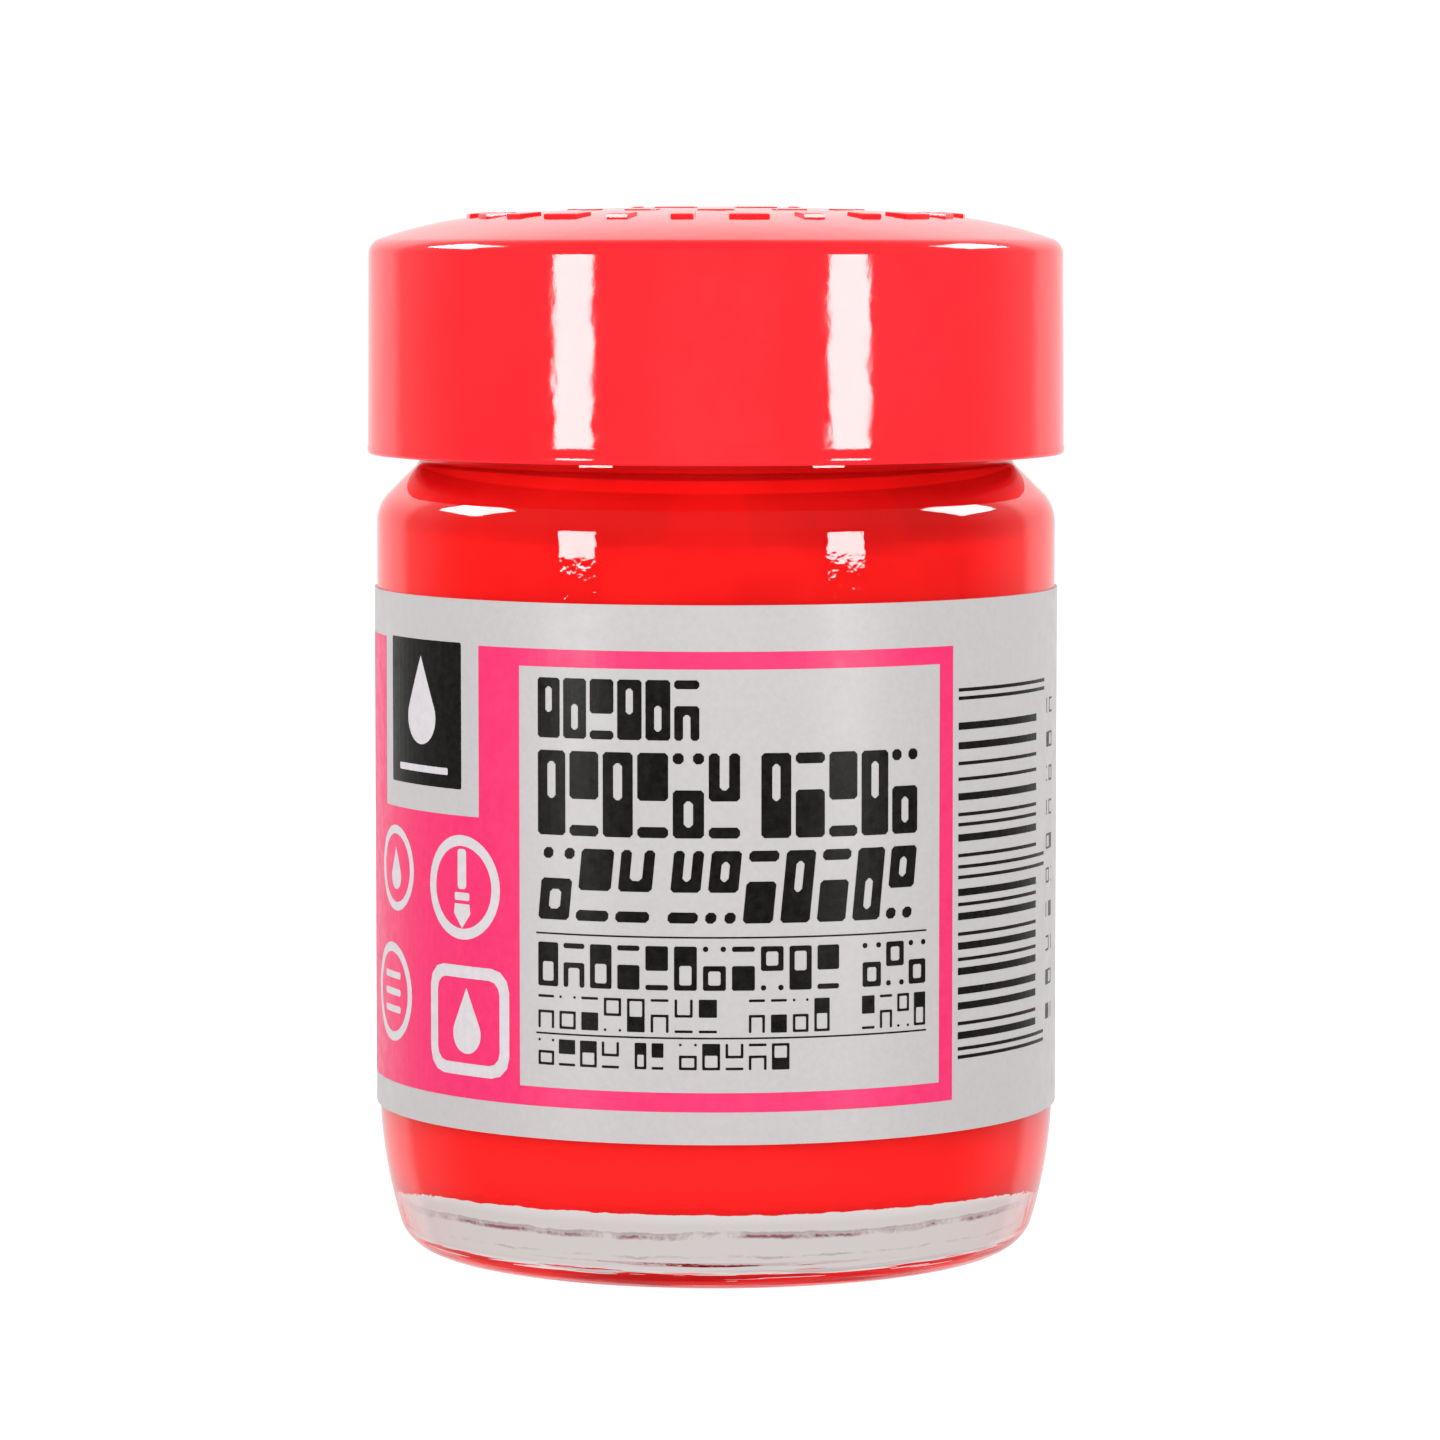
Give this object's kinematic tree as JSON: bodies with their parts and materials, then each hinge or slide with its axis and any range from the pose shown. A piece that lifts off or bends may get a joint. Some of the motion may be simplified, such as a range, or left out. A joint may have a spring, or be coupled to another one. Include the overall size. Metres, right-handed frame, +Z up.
{
  "type": "paint jar",
  "caption": "Small round glass jar of poster paint with a domed screw cap, a sealing liner and a wrap-round paper label.",
  "frame": {"origin": "centre of the jar's foot, on the surface it stands on", "axes": "+Z up the axis of the jar and cap; -Y is the front of the label, +X is to its right"},
  "size_m": [0.041, 0.041, 0.0615],
  "materials": {
    "glass_jar": "clear moulded soda glass, fire polished",
    "paint_fill": "wet fluorescent red poster paint",
    "wrap_label": "pale grey coated paper printed in pink and black",
    "cap_liner": "white foamed polyethylene",
    "screw_cap": "glossy moulded fluorescent red polypropylene"
  },
  "bodies": {
    "jar": {"glass_jar": "glass_jar", "paint_fill": "paint_fill", "wrap_label": "wrap_label"},
    "liner": {"cap_liner": "cap_liner"},
    "cap": {"screw_cap": "screw_cap"}
  },
  "joints": [
    {"name": "cap_lift", "type": "slide", "parent": "jar", "child": "liner", "axis": [0, 0, 1], "range_m": [0, 0.01165]},
    {"name": "cap_turn", "type": "hinge", "parent": "liner", "child": "cap", "pos_m": [0, 0, 0.047], "axis": [0, 0, 1], "range_deg": [0, 990]}
  ],
  "couplings": [
    {"joint": "cap_lift", "follows": "cap_turn", "m_per_rad": 0.00067376}
  ]
}
